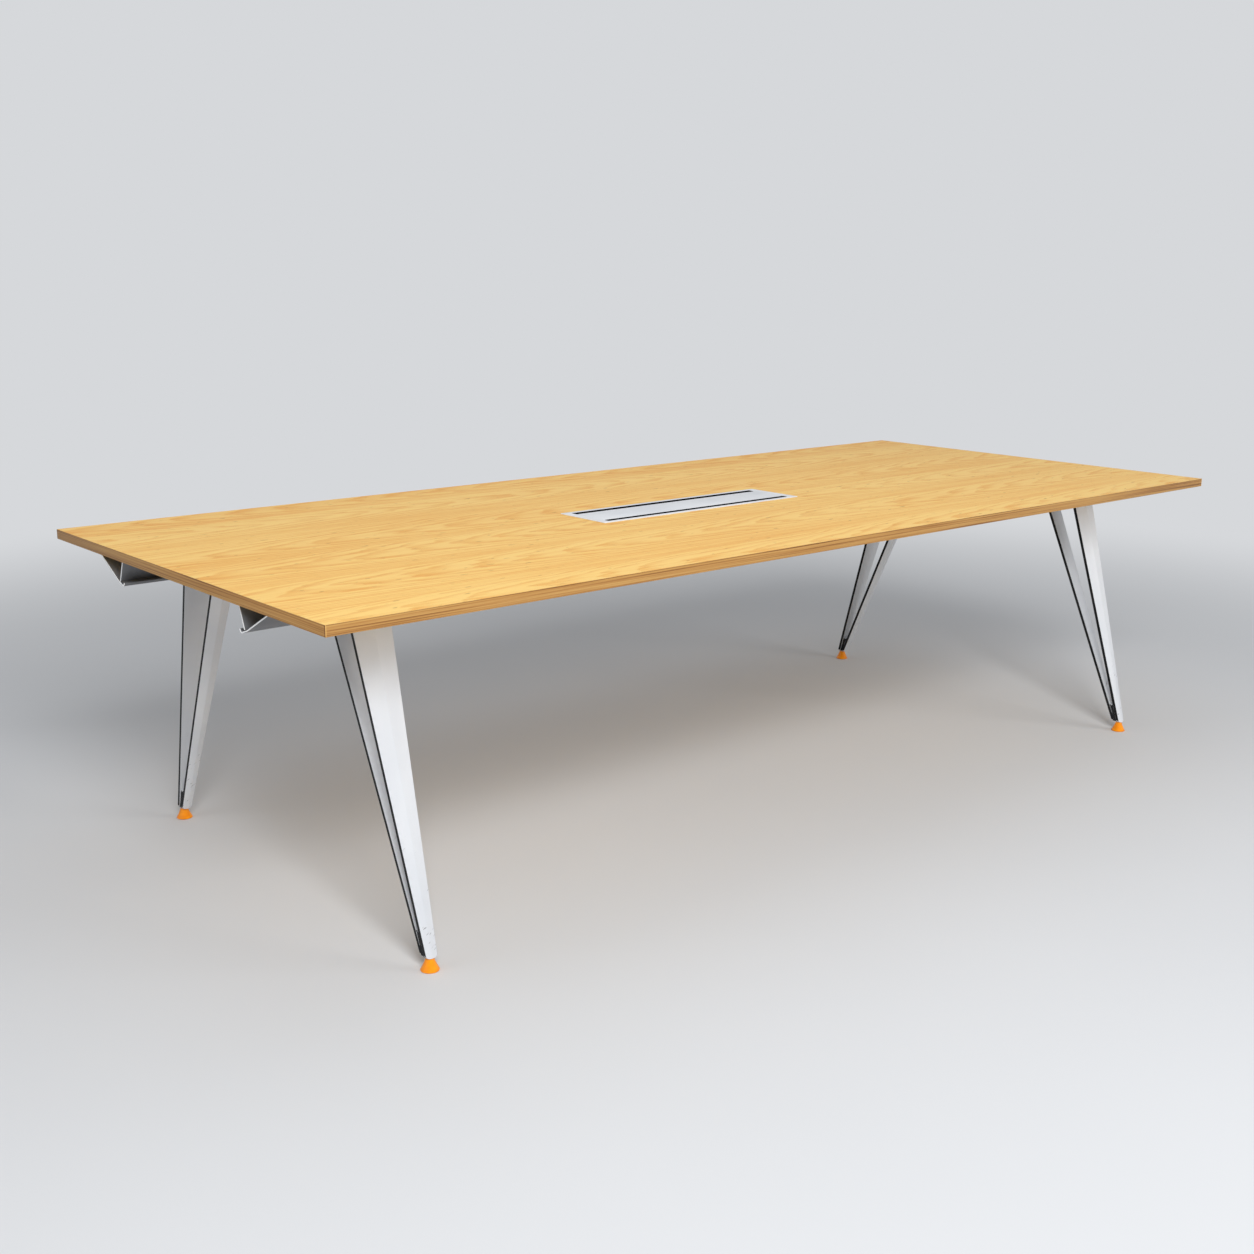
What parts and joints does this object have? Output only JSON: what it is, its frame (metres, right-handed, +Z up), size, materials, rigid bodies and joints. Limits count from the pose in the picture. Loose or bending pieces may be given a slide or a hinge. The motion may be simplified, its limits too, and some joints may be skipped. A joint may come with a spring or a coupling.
{
  "type": "conference table",
  "caption": "Long rectangular conference table: veneered top with a lidded cable flap, folded sheet beams under it, and forked splayed legs on levelling glides.",
  "frame": {"origin": "on the floor under the middle of the table", "axes": "+X along the table, +Y across it to the rear edge, +Z up"},
  "size_m": [2.9, 1.2, 0.7366],
  "materials": {
    "oak_veneer": "satin lacquer",
    "oak_lipping": "satin lacquer",
    "satin_silver": "satin silver",
    "grey_sheet": "satin grey powder coat",
    "zinc_steel": "zinc plated",
    "black_bristle": "matt bristle",
    "orange_plastic": "satin moulded"
  },
  "bodies": {
    "table": {"beam_inner_sheet_front": "grey_sheet", "beam_inner_sheet_rear": "grey_sheet", "beam_outer_sheet_front": "grey_sheet", "beam_outer_sheet_rear": "grey_sheet", "brush_strip_front": "black_bristle", "brush_strip_rear": "black_bristle", "flap_frame": "satin_silver", "leg_bolt_inner_front_left": "zinc_steel", "leg_bolt_inner_front_right": "zinc_steel", "leg_bolt_inner_rear_left": "zinc_steel", "leg_bolt_inner_rear_right": "zinc_steel", "leg_bolt_outer_front_left_a": "zinc_steel", "leg_bolt_outer_front_left_b": "zinc_steel", "leg_bolt_outer_front_right_a": "zinc_steel", "leg_bolt_outer_front_right_b": "zinc_steel", "leg_bolt_outer_rear_left_a": "zinc_steel", "leg_bolt_outer_rear_left_b": "zinc_steel", "leg_bolt_outer_rear_right_a": "zinc_steel", "leg_bolt_outer_rear_right_b": "zinc_steel", "leg_front_left": "satin_silver", "leg_front_right": "satin_silver", "leg_rear_left": "satin_silver", "leg_rear_right": "satin_silver", "lid_pin_left": "zinc_steel", "lid_pin_right": "zinc_steel", "lipping_front": "oak_lipping", "lipping_left": "oak_lipping", "lipping_rear": "oak_lipping", "lipping_right": "oak_lipping", "screw_front_inner_left": "zinc_steel", "screw_front_inner_middle": "zinc_steel", "screw_front_inner_right": "zinc_steel", "screw_front_outer_left": "zinc_steel", "screw_front_outer_middle": "zinc_steel", "screw_front_outer_right": "zinc_steel", "screw_rear_inner_left": "zinc_steel", "screw_rear_inner_middle": "zinc_steel", "screw_rear_inner_right": "zinc_steel", "screw_rear_outer_left": "zinc_steel", "screw_rear_outer_middle": "zinc_steel", "screw_rear_outer_right": "zinc_steel", "tabletop_board": "oak_veneer"},
    "lid": {"flap_lid": "satin_silver"},
    "glide_front_left": {"glide_stem_front_left": "zinc_steel", "glide_foot_front_left": "orange_plastic"},
    "glide_front_right": {"glide_stem_front_right": "zinc_steel", "glide_foot_front_right": "orange_plastic"},
    "glide_rear_left": {"glide_stem_rear_left": "zinc_steel", "glide_foot_rear_left": "orange_plastic"},
    "glide_rear_right": {"glide_stem_rear_right": "zinc_steel", "glide_foot_rear_right": "orange_plastic"}
  },
  "joints": [
    {"name": "lid_hinge", "type": "hinge", "parent": "table", "child": "lid", "pos_m": [-0.082, 0.0225, 0.7331], "axis": [-1, 0, 0], "range_deg": [0, 105]},
    {"name": "glide_front_left_screw_out", "type": "slide", "parent": "table", "child": "glide_front_left", "axis": [0, -0.3429, -0.9394], "range_m": [0, 0.012]},
    {"name": "glide_front_right_screw_out", "type": "slide", "parent": "table", "child": "glide_front_right", "axis": [0, -0.3429, -0.9394], "range_m": [0, 0.012]},
    {"name": "glide_rear_left_screw_out", "type": "slide", "parent": "table", "child": "glide_rear_left", "axis": [0, 0.3429, -0.9394], "range_m": [0, 0.012]},
    {"name": "glide_rear_right_screw_out", "type": "slide", "parent": "table", "child": "glide_rear_right", "axis": [0, 0.3429, -0.9394], "range_m": [0, 0.012]}
  ]
}
